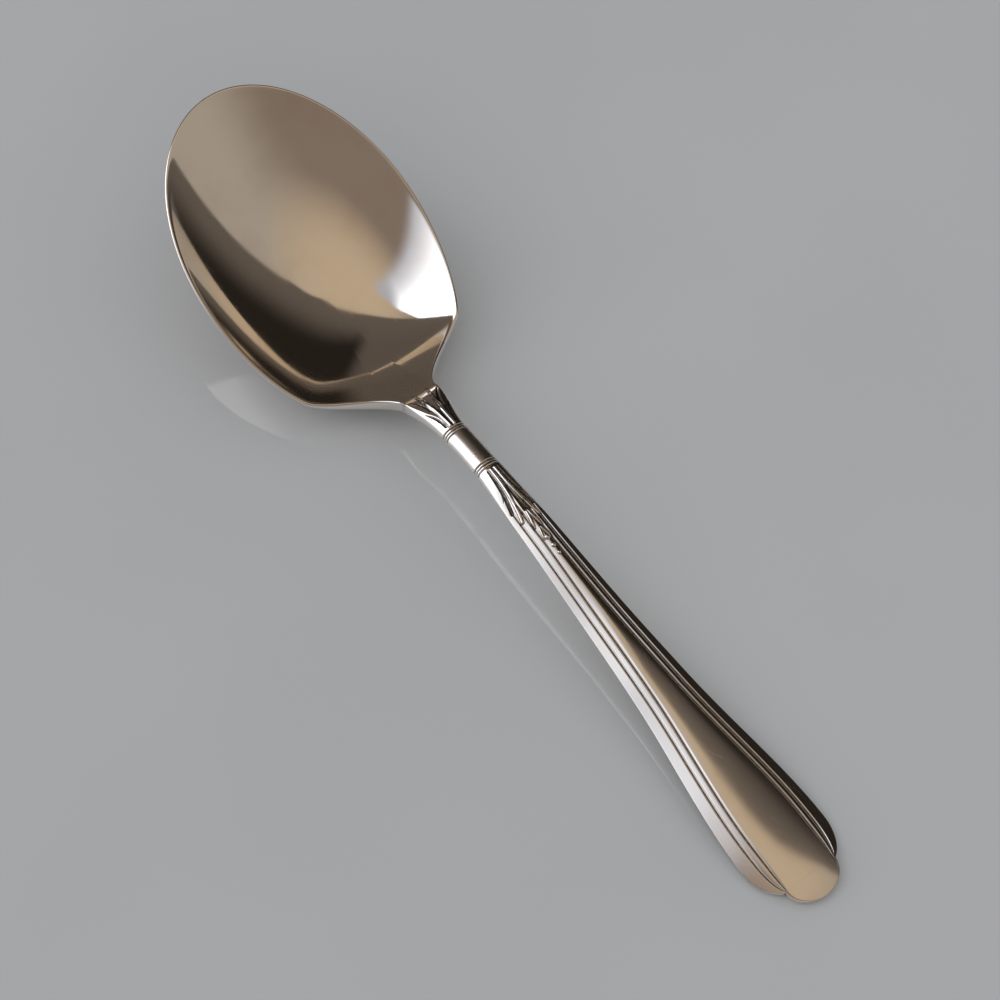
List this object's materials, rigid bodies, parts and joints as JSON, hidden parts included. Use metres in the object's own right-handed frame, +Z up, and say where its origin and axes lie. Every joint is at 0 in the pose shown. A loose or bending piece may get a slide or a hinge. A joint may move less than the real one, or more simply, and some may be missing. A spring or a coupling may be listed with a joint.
{
  "type": "sugar spoon",
  "caption": "Silver-plated sugar spoon with a shouldered oval bowl, a slim ringed neck and a reeded handle that ends in a rounded tongue.",
  "frame": {"origin": "on the table, under the middle of the spoon's box as it lies bowl up", "axes": "+X along the length from the bowl to the handle, +Y to the left seen from the handle's end, +Z up"},
  "size_m": [0.15, 0.0382, 0.0245],
  "materials": {
    "silver": "polished silver plate with fine wear"
  },
  "bodies": {
    "root": {"bowl": "silver", "neck": "silver", "handle": "silver"}
  },
  "joints": []
}
